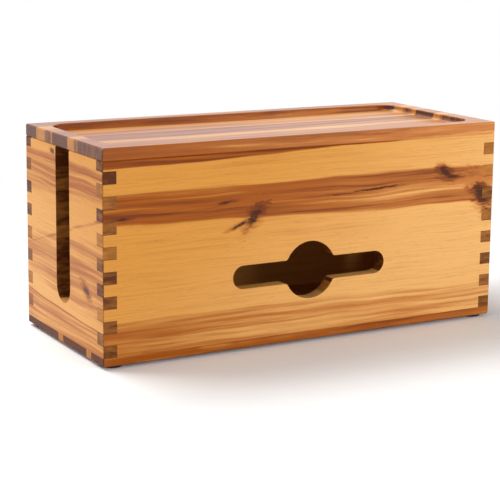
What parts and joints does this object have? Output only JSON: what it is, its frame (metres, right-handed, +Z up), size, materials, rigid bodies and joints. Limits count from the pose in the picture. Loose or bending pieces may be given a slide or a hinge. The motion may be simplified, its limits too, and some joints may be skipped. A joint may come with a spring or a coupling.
{
  "type": "cable management box",
  "caption": "Finger-jointed wooden box that hides a power strip, with cord slots in its ends and front and a lift-off lid with a shallow tray.",
  "frame": {"origin": "on the floor, under the middle of the box", "axes": "+X along the length, +Y from the front panel to the back panel, +Z up"},
  "size_m": [0.4, 0.17, 0.187],
  "materials": {
    "long_wall_acacia": "satin varnish",
    "end_wall_acacia": "satin varnish",
    "bottom_acacia": "satin varnish",
    "lid_acacia": "satin varnish",
    "batten_acacia": "satin varnish",
    "zinc_steel": "bright zinc",
    "black_rubber": "matte"
  },
  "bodies": {
    "box": {"front_panel": "long_wall_acacia", "back_panel": "long_wall_acacia", "left_end_panel": "end_wall_acacia", "right_end_panel": "end_wall_acacia", "bottom_front_stave": "bottom_acacia", "bottom_middle_stave": "bottom_acacia", "bottom_back_stave": "bottom_acacia", "bottom_screws": "zinc_steel", "front_left_foot": "black_rubber", "front_right_foot": "black_rubber", "back_left_foot": "black_rubber", "back_right_foot": "black_rubber"},
    "lid": {"lid_front_stave": "lid_acacia", "lid_middle_stave": "lid_acacia", "lid_back_stave": "lid_acacia", "lid_front_batten": "batten_acacia", "lid_back_batten": "batten_acacia", "batten_screws": "zinc_steel"}
  },
  "joints": [
    {"name": "lid_lift", "type": "slide", "parent": "box", "child": "lid", "axis": [0, 0, 1], "range_m": [0, 0.06]}
  ]
}
